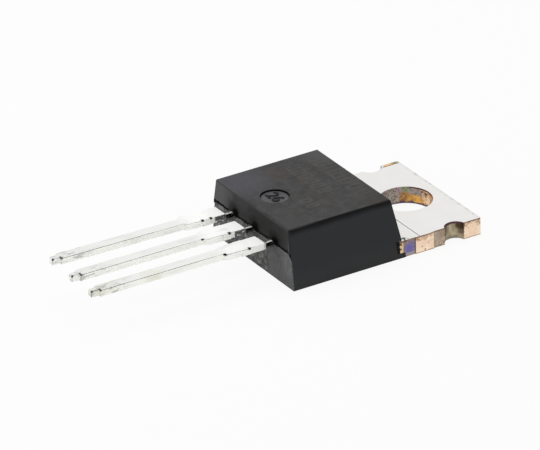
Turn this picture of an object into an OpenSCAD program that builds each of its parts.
// Power MOSFET in a TO-220 package: an epoxy body moulded over a dual-gauge copper leadframe.
// Frame: the origin is on the axis of the mounting hole, in the plane of the tab's back.
// +Y points to the free end of the tab, the leads point to -Y, +Z points out of the marked face.

/* [Body] */
// Width of the body at its base
body_w = 10.38; // [10.3:0.02:10.9]
// Length of the body at its base, from the lead face to the tab side
body_l = 8.98; // [8.4:0.02:9.6]
// Height of the body above the tab's back
body_h = 4.32; // [4.1:0.02:4.8]
// Distance from the mounting hole's axis to the base of the body
body_to_hole = 3.3; // [3:0.05:3.8]
// Draft of the two long sides, in degrees
side_draft = 7.9; // [3:0.1:9]
// Slope of the face over the tab, in degrees
tab_face_draft = 11; // [5:0.5:13]
// Draft of the lead face above the parting line, in degrees
lead_face_draft = 3.6; // [1:0.1:6]
// Radius of the edges round the top face
edge_r = 0.14; // [0.1:0.02:0.4]

/* [Mould marks] */
// Diameter of the ejector pin's recess in the top face
ejector_d = 2.02; // [1.2:0.02:2.6]
// Depth of the ejector pin's recess
ejector_depth = 0.12; // [0.04:0.01:0.2]
// Distance from the lead face to the axis of the ejector pin
ejector_inset = 2.02; // [1.7:0.02:2.4]
// Sideways offset of the ejector pin from the middle
ejector_offset = -0.2; // [-0.6:0.05:0.6]
// Depth of the clamp's print in the lead face, below the parting line
clamp_depth = 0.07; // [0.04:0.01:0.15]
// Radius of the upper corners of the clamp's print
clamp_r = 0.4; // [0.2:0.05:0.8]

/* [Tab] */
// Width of the tab
tab_w = 10.28; // [10:0.02:10.36]
// Thickness of the heavy gauge, which is the tab and the header
tab_t = 1.25; // [1.1:0.01:1.4]
// Distance from the hole's axis to the free end of the tab
tab_end = 2.7; // [2.5:0.02:3]
// Diameter of the mounting hole
hole_d = 3.68; // [3.4:0.02:3.9]
// Chamfer of the two free corners
tab_corner = 0.05; // [0.02:0.01:0.5]
// Radius of the pilot notch in each side of the tab
notch_r = 0.78; // [0.5:0.02:1]
// Distance of the notches past the hole's axis, towards the free end
notch_y = 0.55; // [0.3:0.05:0.8]
// Distance of the notches' middles outside the tab's sides
notch_out = 0.25; // [0:0.01:0.4]
// Distance that the sheared tie-bars stand proud of the tab's sides
shear_proud = 0.06; // [0.02:0.01:0.1]
// Length of the inner sheared tie-bar along the tab's side
shear_l = 1.45; // [1:0.05:1.6]
// Distance from the body's base to the inner sheared tie-bar
shear_gap = 0.75; // [0.5:0.05:0.9]
// Depth of the flash groove across the tab
groove_depth = 0.06; // [0.03:0.01:0.15]
// Distance from the body's base to the flash groove
groove_gap = 1.1; // [0.6:0.05:1.3]

/* [Header] */
// Length of the full-width tab that lies in the body
tab_buried = 0.65; // [0.4:0.05:1]
// Width of the header in the body
header_w = 8.8; // [8:0.05:9]
// Distance from the lead face to the header's inner end
header_gap = 2.3; // [2.2:0.05:2.6]
// Chamfer of the header's inner corners
header_corner = 0.5; // [0.2:0.05:1]
// Width of the moulding lock coined round the header's back
lock_w = 0.35; // [0.2:0.05:0.6]
// Height of the moulding lock
lock_h = 0.5; // [0.3:0.05:0.7]

/* [Leads] */
// Distance between the middles of two neighbouring leads
pitch = 2.54; // [2.4:0.02:2.7]
// Length of the leads outside the body
lead_l = 14; // [12.7:0.1:14.7]
// Thickness of the light gauge, which is all three leads
lead_t = 0.45; // [0.36:0.01:0.56]
// Height of the leads' upper face where they leave the body, which is also the parting line's
lead_top = 2.76; // [2.7:0.01:2.9]
// Width of the neck next to the body
neck_w = 0.42; // [0.36:0.02:0.7]
// Length of the neck
neck_l = 0.58; // [0.4:0.02:0.8]
// How far before the neck's end the lead's crank starts
crank_start = 0.04; // [0.02:0.01:0.2]
// Width of the shoulder
shoulder_w = 1.32; // [1.14:0.02:1.52]
// Distance from the body to the end of the shoulder
shoulder_l = 4; // [3.3:0.05:4.4]
// Chamfer of the shoulder's corners at the neck
shoulder_c = 0.36; // [0.3:0.01:0.5]
// Distance from the body to the sheared dam bar
dam_gap = 2; // [1.6:0.05:2.3]
// Width of the sheared dam bar along the lead
dam_l = 0.65; // [0.4:0.05:0.9]
// Distance that the sheared dam bar stands proud of the shoulder
dam_proud = 0.04; // [0.02:0.01:0.1]
// Width of the slender part of a lead
lead_w = 0.84; // [0.7:0.02:1]
// Width of a lead's tip
tip_w = 0.44; // [0.3:0.02:0.6]
// Length of a lead's tip
tip_l = 0.6; // [0.4:0.05:1.2]
// Height of the crank that lifts the gate lead at its shoulder
gate_crank = 0.33; // [0:0.01:0.5]
// Height of the crank that lifts the drain lead at its shoulder
drain_crank = 0.33; // [0:0.01:0.5]
// Height of the crank that lifts the source lead at its shoulder
source_crank = 0.26; // [0:0.01:0.5]
// Rise of the gate lead from its shoulder to its tip
gate_rise = 0.2; // [0:0.01:1]
// Rise of the drain lead from its shoulder to its tip
drain_rise = 0.05; // [0:0.01:1]
// Rise of the source lead from its shoulder to its tip
source_rise = 0.07; // [0:0.01:1]

/* [Inner leads] */
// Width of the bonding posts of the gate and source leads
post_w = 2.3; // [1.8:0.05:2.5]
// Length of the bonding posts
post_l = 1.3; // [0.9:0.05:1.4]
// Distance from the lead face to the bonding posts
post_cover = 0.6; // [0.45:0.05:0.7]
// Distance that the posts stand outwards of their leads
post_shift = 0.35; // [0:0.05:0.45]
// Width of the drain lead in the body
drain_w = 1.3; // [1:0.05:1.5]
// Slope of the drain lead's rise from the header, in degrees
drain_slope = 65; // [60:1:75]
// Inner radius of the drain lead's bends
bend_r = 0.3; // [0.2:0.02:0.36]

/* [Die] */
// Width of the silicon die
die_w = 3.1; // [2.8:0.05:4]
// Length of the silicon die
die_l = 4; // [3.4:0.05:4.2]
// Thickness of the silicon die
die_t = 0.3; // [0.2:0.01:0.4]
// Distance from the header's inner end to the die
die_gap = 0.8; // [0.6:0.05:1]
// Thickness of the solder under the die
solder_t = 0.06; // [0.03:0.01:0.1]
// Width of the solder's edge round the die
solder_rim = 0.12; // [0.05:0.01:0.25]

/* [Bond wires] */
// Diameter of the gate's bond wire
gate_wire_d = 0.2; // [0.12:0.01:0.26]
// Diameter of the source's bond wires
source_wire_d = 0.38; // [0.3:0.01:0.46]
// Length of the wedge-bonded foot at each end of a wire, in wire diameters
foot_l = 2; // [1:0.1:2.4]
// Width of the foot, in wire diameters
foot_w = 1.3; // [1.1:0.05:1.6]
// Height of the foot where the wire leaves it, in wire diameters
foot_h = 0.8; // [0.6:0.05:0.95]
// Angle that each wire's loop turns through, in degrees
loop_angle = 120; // [105:1:130]
// Distance from the die's edges to the gate's bond
gate_inset = 0.55; // [0.45:0.05:0.7]
// Distance from the die's edge to the source's bonds
source_inset = 0.77; // [0.6:0.01:0.9]
// Distance from the die's end to the first of the source's bonds
source_start = 0.55; // [0.45:0.05:0.7]
// Distance between the source's bonds along the die
source_step = 1.3; // [1.1:0.05:1.6]
// Distance between the source's bonds on their post
source_spread = 0.9; // [0.75:0.05:1.1]

/* [Hidden] */
$fn = 64;

far = 40;                                // longer than any cut needs
crease = 3.6;                            // degrees between a fillet and the faces that it joins
tab_face_y = -body_to_hole;              // base of the body's face over the tab
lead_face_y = tab_face_y - body_l;       // the body's lead face at the parting line
parting_z = lead_top;                    // the leads lie in the mould's lower half
header_y = tab_face_y - tab_buried;      // where the full-width tab narrows to the header
header_end = lead_face_y + header_gap;
die_y = header_end + die_gap + die_l / 2;
die_top = tab_t + solder_t + die_t;
post_y = lead_face_y + post_cover + post_l / 2;

// ---- outlines ----

// A convex outline with each corner rounded to its own radius
module rounded(corners, radii) {
    n = len(corners);
    difference() {
        polygon(corners);
        for (i = [0:n - 1]) if (radii[i] > 0)
            corner_waste(corners[(i + n - 1) % n], corners[i], corners[(i + 1) % n], radii[i]);
    }
}

// What a fillet of radius r takes off a corner, given the corners before and after it. Its circle
// is drawn a little large, so that it crosses the two edges at a slight crease.
module corner_waste(before, corner, after, r) {
    ways = [unit(before - corner), unit(after - corner)];
    half = acos(ways[0] * ways[1]) / 2;
    middle = corner + unit(ways[0] + ways[1]) * r / sin(half);
    touch = [for (way = ways) corner + way * r / tan(half)];
    difference() {
        polygon([middle, touch[0], corner + (corner - middle), touch[1]]);
        translate(middle) circle(r = r / cos(crease));
    }
}

function unit(v) = v / norm(v);

// An outline alike on both sides of the middle, from pairs of half width and place
module symmetric(half) {
    n = len(half);
    polygon([for (i = [0:2 * n - 1]) i < n ? half[i] : [-half[2 * n - 1 - i][0], half[2 * n - 1 - i][1]]]);
}

// Stands an outline of depth and height up across the part, with its depth running to -Y
module across(width) {
    rotate([90, 0, -90]) linear_extrude(width, center = true) children();
}

// Stands an outline of width and height up along the part
module along() {
    rotate([90, 0, 0]) linear_extrude(far, center = true) children();
}

// ---- bent strip, drawn as depth and height ----

// A straight run of strip, and what follows it
module run(l) {
    square([l, lead_t]);
    translate([l, 0]) children();
}

// A bend of the strip, upwards for a positive angle, and what follows it
module bend(angle) {
    side = sign(angle);
    middle = side > 0 ? lead_t + bend_r : -bend_r;
    translate([0, middle]) {
        intersection() {
            difference() {
                circle(r = bend_r + lead_t);
                circle(r = bend_r);
            }
            polygon([[0, 0], [0, -side * far], far * [tan(abs(angle) / 2), -side],
                far * [sin(abs(angle)), -side * cos(angle)]]);
        }
        rotate(angle) translate([0, -middle]) children();
    }
}

// The last straight run through the lead face and the neck, the crank up to the shoulder, and the
// lead, which rises to its tip
module run_out(l, crank, rise) {
    low = l + neck_l - crank_start;
    line = [[0, 0], [low, 0], [low + shoulder_c, crank], [l + lead_l, crank + rise]];
    n = len(line);
    polygon([for (i = [0:2 * n - 1]) i < n ? line[i] : line[2 * n - 1 - i] + [0, lead_t]]);
}

// ---- leads ----

// Outline of a lead: what lies in the body, then neck, shoulder, dam bar, slender part and tip.
// It runs on past the tip, where the side view cuts it off.
module lead_outline(inner) {
    neck_y = lead_face_y - neck_l;
    dam_y = lead_face_y - dam_gap;
    shoulder_y = lead_face_y - shoulder_l;
    tip_y = lead_face_y - lead_l + tip_l;
    symmetric(concat(inner, [
        [neck_w / 2, neck_y],
        [shoulder_w / 2 - shoulder_c, neck_y],
        [shoulder_w / 2, neck_y - shoulder_c],
        [shoulder_w / 2, dam_y],
        [shoulder_w / 2 + dam_proud, dam_y],
        [shoulder_w / 2 + dam_proud, dam_y - dam_l],
        [shoulder_w / 2, dam_y - dam_l],
        [shoulder_w / 2, shoulder_y + (shoulder_w - lead_w) / 2],
        [lead_w / 2, shoulder_y],
        [lead_w / 2, tip_y],
        [tip_w / 2, tip_y - (lead_w - tip_w) / 4],
        [tip_w / 2, tip_y - far]]));
}

// A gate or source lead; side is -1 for the gate and 1 for the source
module post_lead(side, crank, rise) {
    intersection() {
        translate([0, post_y, lead_top - lead_t]) across(far)
            run_out(post_y - lead_face_y, crank, rise);
        linear_extrude(far) translate([side * pitch, 0]) lead_outline([[neck_w / 2, post_y]]);
    }
    translate([side * (pitch + post_shift), post_y, lead_top - lead_t / 2])
        cube([post_w, post_l, lead_t], center = true);
}

module drain_lead() {
    start = lock_w;                      // length of strip that is rooted in the header
    climb = lead_top - tab_t;
    bends = 2 * bend_r + lead_t;
    slope_l = (climb - bends * (1 - cos(drain_slope))) / sin(drain_slope);
    reach = bends * sin(drain_slope) + slope_l * cos(drain_slope);
    intersection() {
        translate([0, header_end + start, tab_t - lead_t]) across(far)
            run(start) bend(drain_slope) run(slope_l) bend(-drain_slope)
                run_out(header_gap - reach, drain_crank, drain_rise);
        linear_extrude(far) lead_outline([
            [drain_w / 2, header_end + start],
            [drain_w / 2, lead_face_y + post_cover],
            [neck_w / 2, lead_face_y + post_cover]]);
    }
}

// ---- tab and header ----

module tab_plate() {
    difference() {
        linear_extrude(tab_t) difference() {
            union() {
                symmetric([
                    [tab_w / 2, header_y],
                    [tab_w / 2, tab_end - tab_corner],
                    [tab_w / 2 - tab_corner, tab_end]]);
                for (side = [-1, 1]) translate([side * tab_w / 2, 0]) {
                    sheared_edge(tab_face_y + shear_gap, tab_face_y + shear_gap + shear_l);
                    sheared_edge(notch_y, tab_end - tab_corner);
                }
            }
            for (side = [-1, 1])
                translate([side * (tab_w / 2 + notch_out), notch_y]) circle(r = notch_r);
        }
        cylinder(h = far, d = hole_d, center = true);
        translate([0, tab_face_y + groove_gap, tab_t]) across(far)
            polygon([[-groove_depth, groove_depth], [groove_depth, groove_depth], [0, -groove_depth]]);
    }
}

module sheared_edge(from, to) {
    translate([-shear_proud, from]) square([2 * shear_proud, to - from]);
}

// The header's outline, drawn in from its edge by some width
module header_outline(inset) {
    half = header_w / 2 - inset;
    symmetric([
        [half - header_corner, header_end + inset],
        [half, header_end + inset + header_corner],
        [half, header_y + lock_w]]);
}

module header() {
    linear_extrude(tab_t) header_outline(lock_w);
    translate([0, 0, lock_h]) linear_extrude(tab_t - lock_h) header_outline(0);
}

// ---- bond wires ----

// A wire that loops from a bond on the die to a bond on a post, with a wedge foot at each end
module bond_wire(from, to, d) {
    way = [to[0] - from[0], to[1] - from[1]];
    span = norm(way);
    height = lead_top - die_top;
    climb = atan2(height, span);
    start = climb + loop_angle / 2;      // direction of the wire as it leaves the die
    r = norm([span, height]) / (2 * sin(loop_angle / 2));
    spare = loop_angle / 9;              // the loop runs on past each bond, and is cut off there
    translate([from[0], from[1], die_top]) rotate([90, 0, atan2(way[1], way[0])]) {
        intersection() {
            translate([r * sin(start), -r * cos(start), 0])
                rotate(90 + start - loop_angle - spare)
                    rotate_extrude(angle = loop_angle + 2 * spare) translate([r, 0]) circle(d = d);
            linear_extrude(2 * d, center = true)
                polygon([[-d, 0], [span / 2, 0], [span / 2, height], [span + far, height],
                    [span + far, far], [-d, far]]);
        }
        wedge_foot(d);
        translate([span, height, 0]) mirror([1, 0, 0]) wedge_foot(d);
    }
}

// The flattened end of a wire of diameter d, which lies behind the bond and slopes up to the loop
module wedge_foot(d) {
    linear_extrude(foot_w * d, center = true)
        polygon([[-foot_l * d, 0], [d / 2, 0], [d / 2, d / 2], [0, foot_h * d], [-foot_l * d, d / 3]]);
}

// ---- nodes ----

module mold_body() {
    color("#3b3b3d") difference() {
        intersection() {
            translate([0, lead_face_y, 0]) across(far) side_outline();
            along() front_outline();
        }
        translate([ejector_offset, lead_face_y + ejector_inset, body_h - ejector_depth])
            cylinder(h = far, d = ejector_d);
        clamp_print();
        tab_and_drain_lead();
        gate_lead();
        source_lead();
        die_solder();
        silicon_die();
        gate_bond_wire();
        source_bond_wire_1();
        source_bond_wire_2();
    }
}

// The body seen from the side, as depth from the lead face and height; the body lies at -depth
module side_outline() {
    upper_h = body_h - parting_z;
    rounded([
        [0, 0],
        [-body_l, 0],
        [-body_l + body_h * tan(tab_face_draft), body_h],
        [-upper_h * tan(lead_face_draft), body_h],
        [0, parting_z]],
        [0, 0, edge_r, edge_r, 0]);
}

module front_outline() {
    half = body_w / 2;
    top_half = half - body_h * tan(side_draft);
    rounded([[-half, 0], [half, 0], [top_half, body_h], [-top_half, body_h]], [0, 0, edge_r, edge_r]);
}

// The flat that the mould's clamp leaves on the lead face, below the leads. It runs out through
// the body's sides, and its upper corners round down to them.
module clamp_print() {
    half = body_w / 2 - parting_z * tan(side_draft);
    base = body_w / 2 + parting_z * tan(side_draft);
    translate([0, lead_face_y + clamp_depth - far / 2, 0]) along()
        rounded([[-base, -parting_z], [base, -parting_z], [half, parting_z], [-half, parting_z]],
            [0, 0, clamp_r, clamp_r]);
}

module tab_and_drain_lead() {
    color("#dcdad4") {
        tab_plate();
        header();
        drain_lead();
    }
}

module gate_lead() {
    color("#dedddb") post_lead(-1, gate_crank, gate_rise);
}

module source_lead() {
    color("#dedddb") post_lead(1, source_crank, source_rise);
}

module die_solder() {
    color("#9b9c9e") translate([0, die_y, tab_t + solder_t / 2])
        cube([die_w + 2 * solder_rim, die_l + 2 * solder_rim, solder_t], center = true);
}

module silicon_die() {
    color("#6d7480") translate([0, die_y, die_top - die_t / 2])
        cube([die_w, die_l, die_t], center = true);
}

module gate_bond_wire() {
    color("#c8cacd") bond_wire(
        [gate_inset - die_w / 2, die_y - die_l / 2 + gate_inset],
        [-pitch - post_shift, post_y],
        gate_wire_d);
}

// One of the two wires that carry the source's current
module source_bond_wire(n) {
    bond_wire(
        [die_w / 2 - source_inset, die_y - die_l / 2 + source_start + n * source_step],
        [pitch + post_shift + (n - 0.5) * source_spread, post_y],
        source_wire_d);
}

module source_bond_wire_1() {
    color("#c8cacd") source_bond_wire(0);
}

module source_bond_wire_2() {
    color("#c8cacd") source_bond_wire(1);
}

mold_body();
tab_and_drain_lead();
gate_lead();
source_lead();
die_solder();
silicon_die();
gate_bond_wire();
source_bond_wire_1();
source_bond_wire_2();
